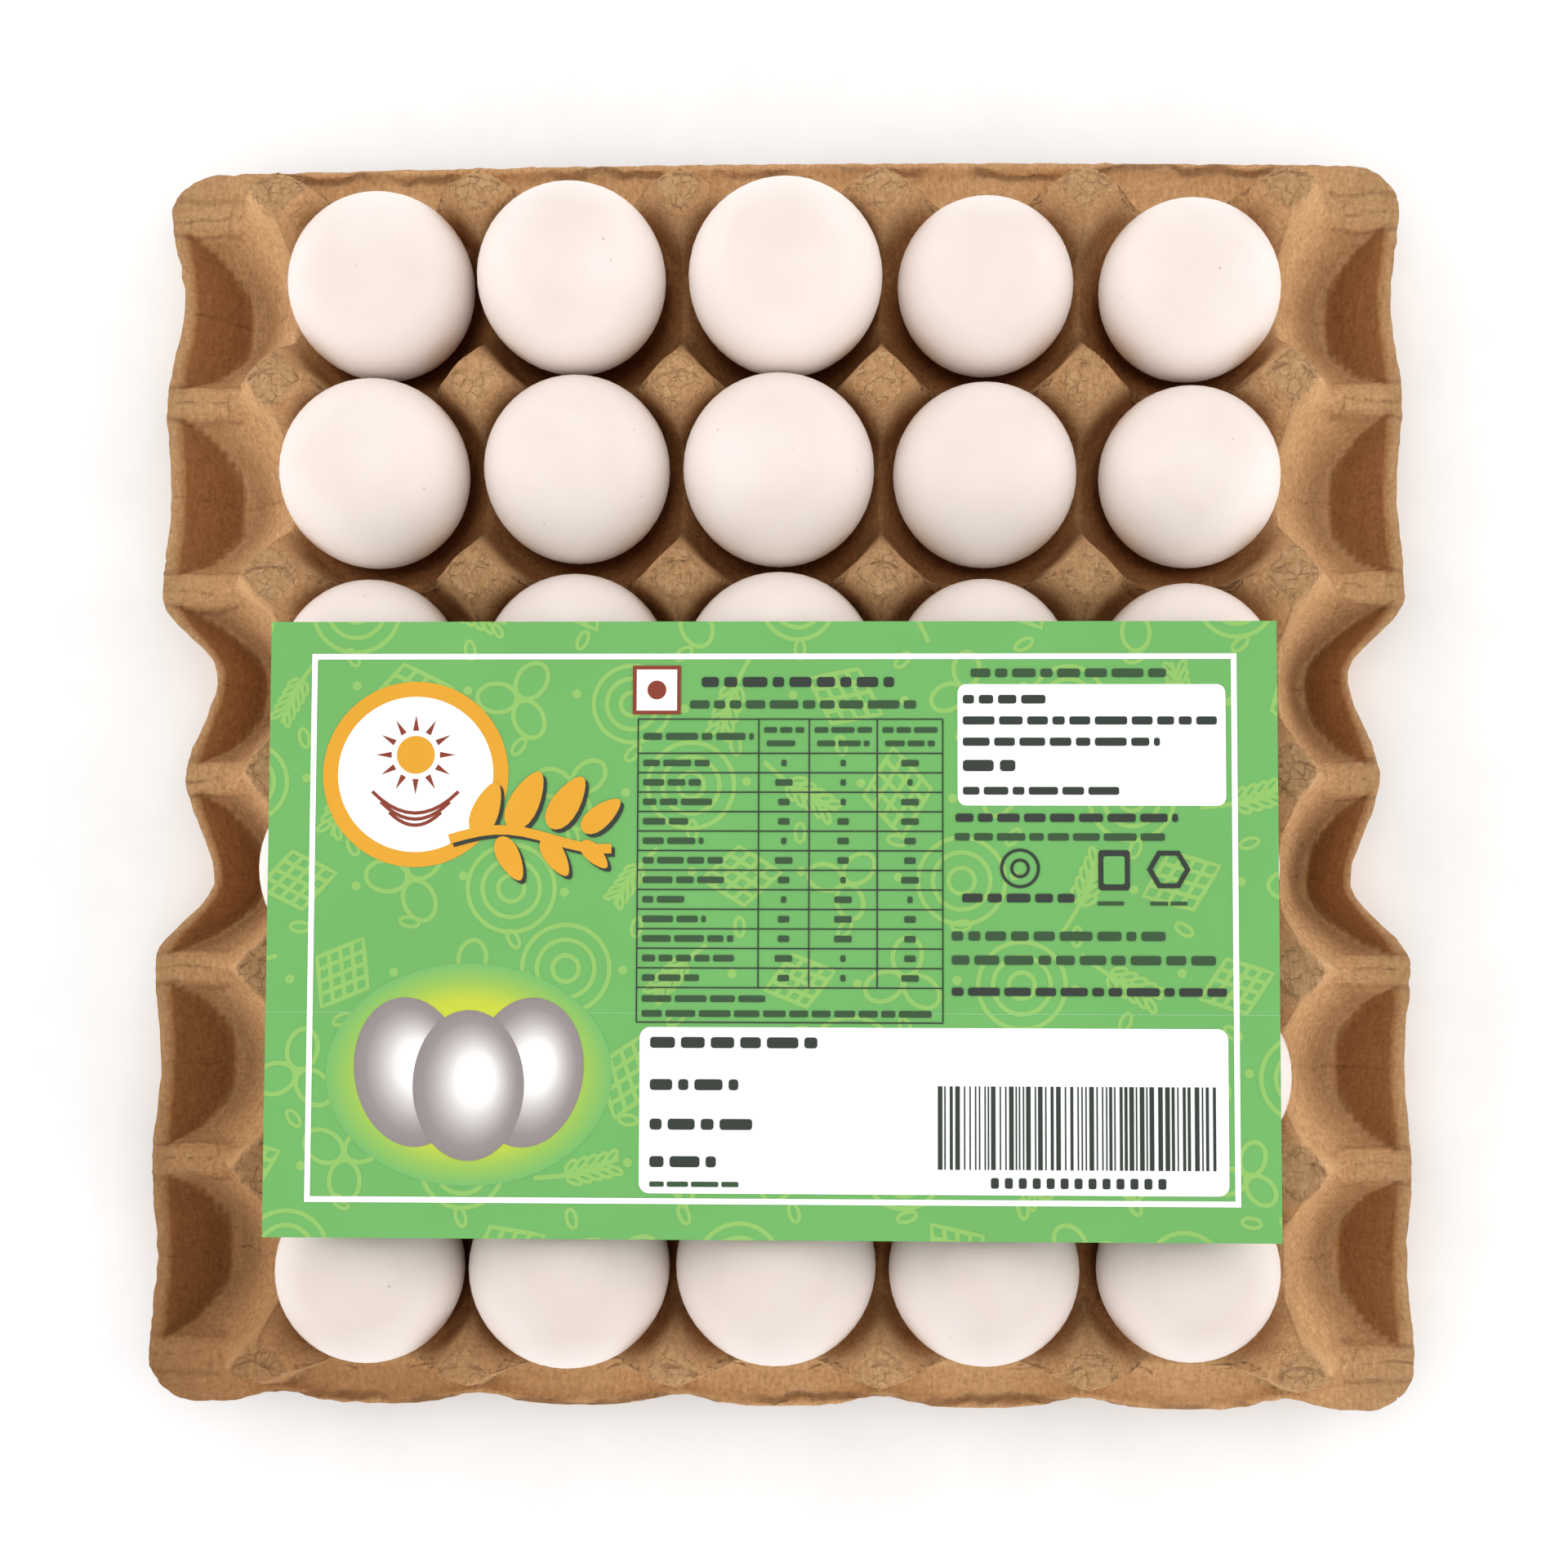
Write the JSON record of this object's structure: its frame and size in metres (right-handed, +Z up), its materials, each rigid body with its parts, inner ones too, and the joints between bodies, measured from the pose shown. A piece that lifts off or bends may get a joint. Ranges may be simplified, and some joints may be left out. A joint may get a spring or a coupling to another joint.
{
  "type": "open egg tray with eggs",
  "caption": "Open square moulded-pulp tray with a white egg standing in each cup and a green printed paper sheet lying over the middle rows.",
  "frame": {"origin": "centre of the tray's outline, on the surface that it stands on", "axes": "+Z up out of the cups, +Y towards the edge without the sheet, +X to the right as the sheet is read; the side edges with finger notches face -X and +X"},
  "size_m": [0.3014, 0.3006, 0.0647],
  "materials": {
    "pulp": "matt rough fibre",
    "shell": "matt eggshell",
    "paper": "matt print"
  },
  "bodies": {
    "root": {"tray": "pulp", "egg_r1c1": "shell", "egg_r1c2": "shell", "egg_r1c3": "shell", "egg_r1c4": "shell", "egg_r1c5": "shell", "egg_r2c1": "shell", "egg_r2c2": "shell", "egg_r2c3": "shell", "egg_r2c4": "shell", "egg_r2c5": "shell", "egg_r3c1": "shell", "egg_r3c2": "shell", "egg_r3c3": "shell", "egg_r3c4": "shell", "egg_r3c5": "shell", "egg_r4c1": "shell", "egg_r4c2": "shell", "egg_r4c3": "shell", "egg_r4c4": "shell", "egg_r4c5": "shell", "egg_r5c1": "shell", "egg_r5c2": "shell", "egg_r5c3": "shell", "egg_r5c4": "shell", "egg_r5c5": "shell", "egg_r6c1": "shell", "egg_r6c2": "shell", "egg_r6c3": "shell", "egg_r6c4": "shell", "egg_r6c5": "shell", "label": "paper"}
  },
  "joints": []
}
